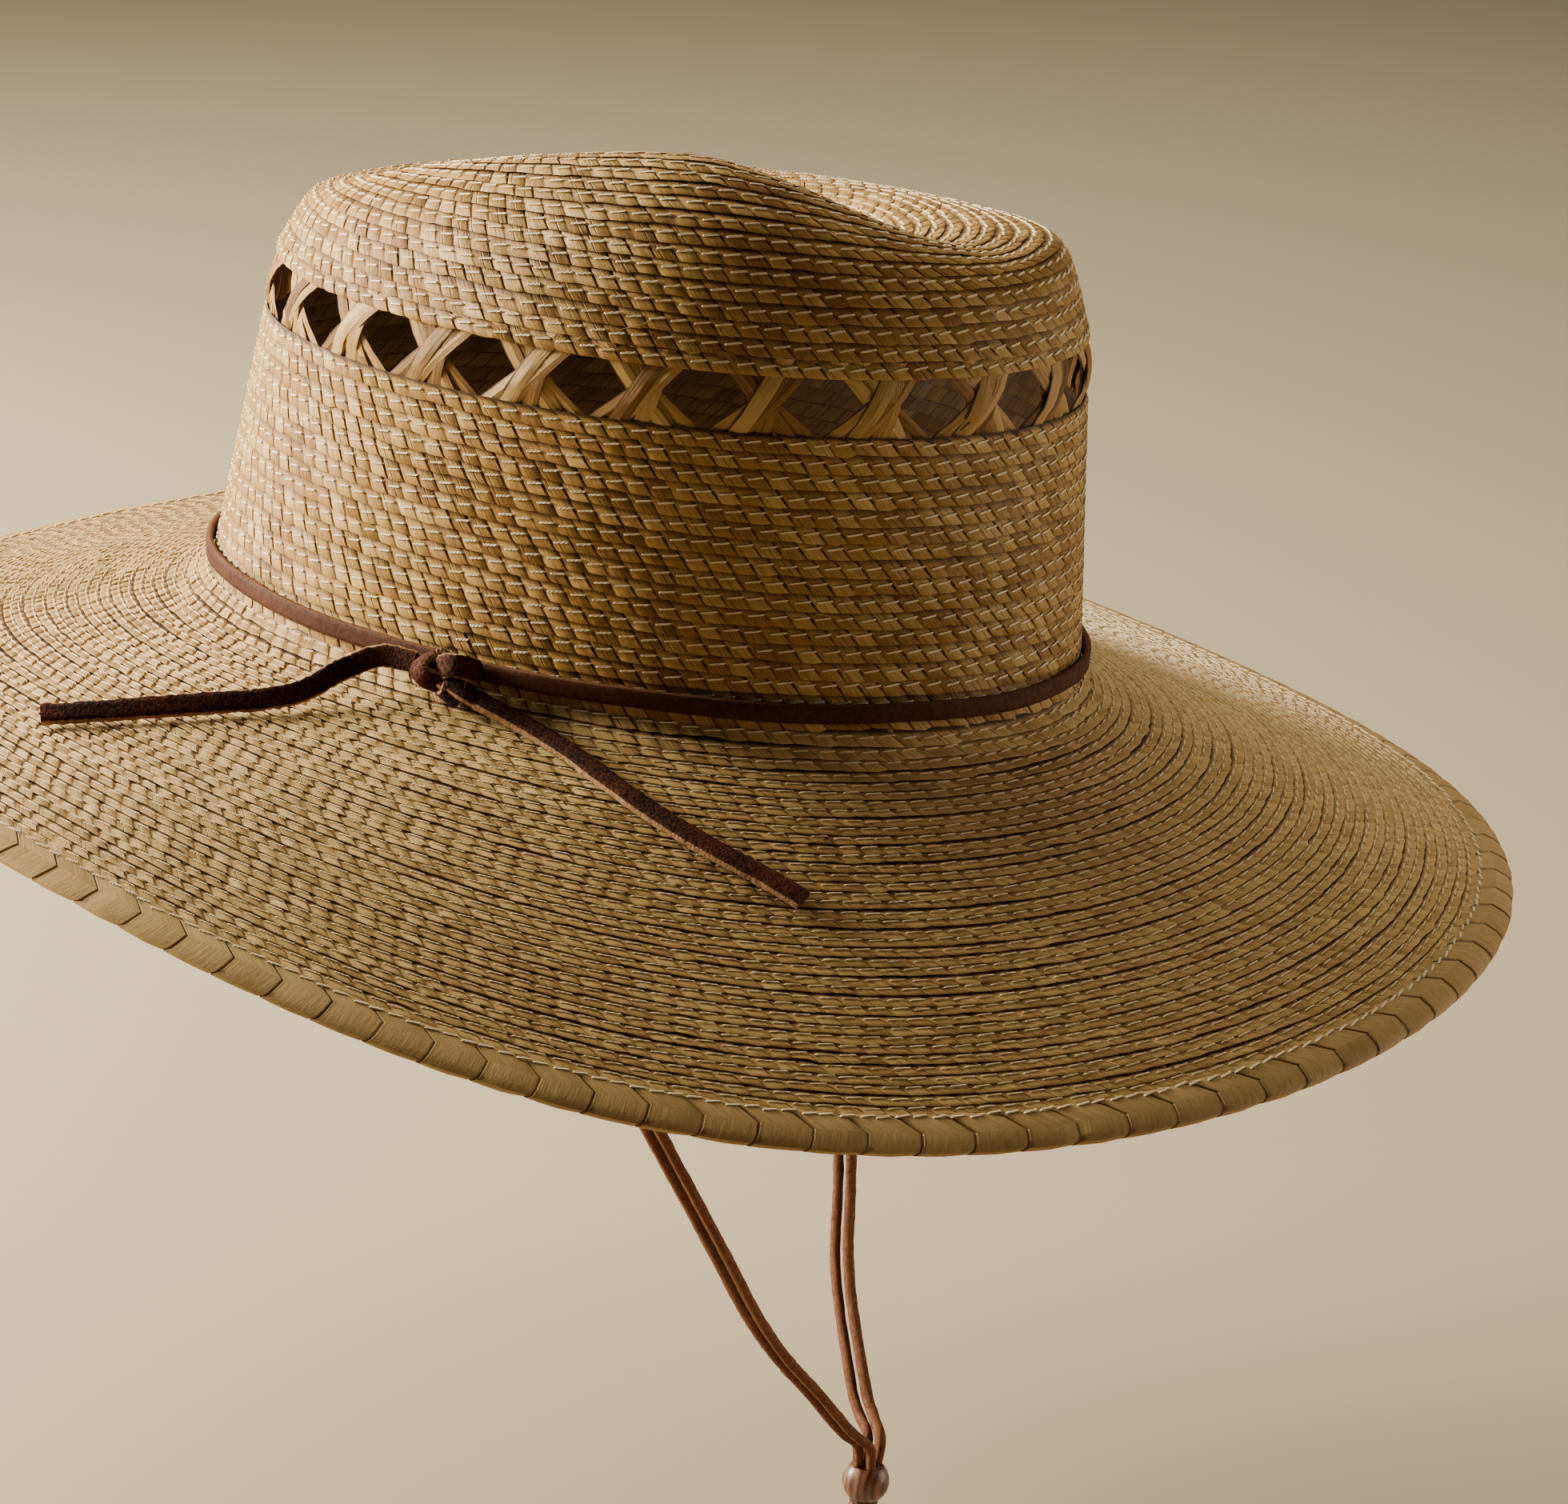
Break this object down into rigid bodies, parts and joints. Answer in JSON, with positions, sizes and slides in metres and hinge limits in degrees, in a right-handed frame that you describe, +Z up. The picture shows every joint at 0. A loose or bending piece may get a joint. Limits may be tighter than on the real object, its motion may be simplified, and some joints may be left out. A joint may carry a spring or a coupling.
{
  "type": "palm straw hat",
  "caption": "Sewn palm-braid hat: creased oval crown with an open vent row, wide drooping brim with a plaited edge, leather lace band and leather chin cord with a wooden slide bead.",
  "frame": {"origin": "middle of the head opening, level with the foot of the crown, where the hat sits on a head", "axes": "+Z up along the crown, -Y towards the wearer's front, -X towards the wearer's right"},
  "size_m": [0.3704, 0.4153, 0.324],
  "materials": {
    "straw": "sewn palm braid, satin",
    "straw_edge": "plaited palm leaf, satin",
    "lace": "soft suede lace",
    "bead": "dark waxed wood"
  },
  "bodies": {
    "root": {"crown_top": "straw", "vent_row": "straw", "crown_side": "straw", "brim": "straw", "brim_edge": "straw_edge", "hat_band": "lace", "band_knot": "lace", "band_tail_back": "lace", "band_tail_front": "lace", "chin_cord_right_front": "lace", "chin_cord_right_back": "lace", "chin_cord_left_front": "lace", "chin_cord_left_back": "lace", "chin_tab_right": "lace", "chin_tab_left": "lace", "chin_bead": "bead", "chin_stop_knot": "lace"}
  },
  "joints": []
}
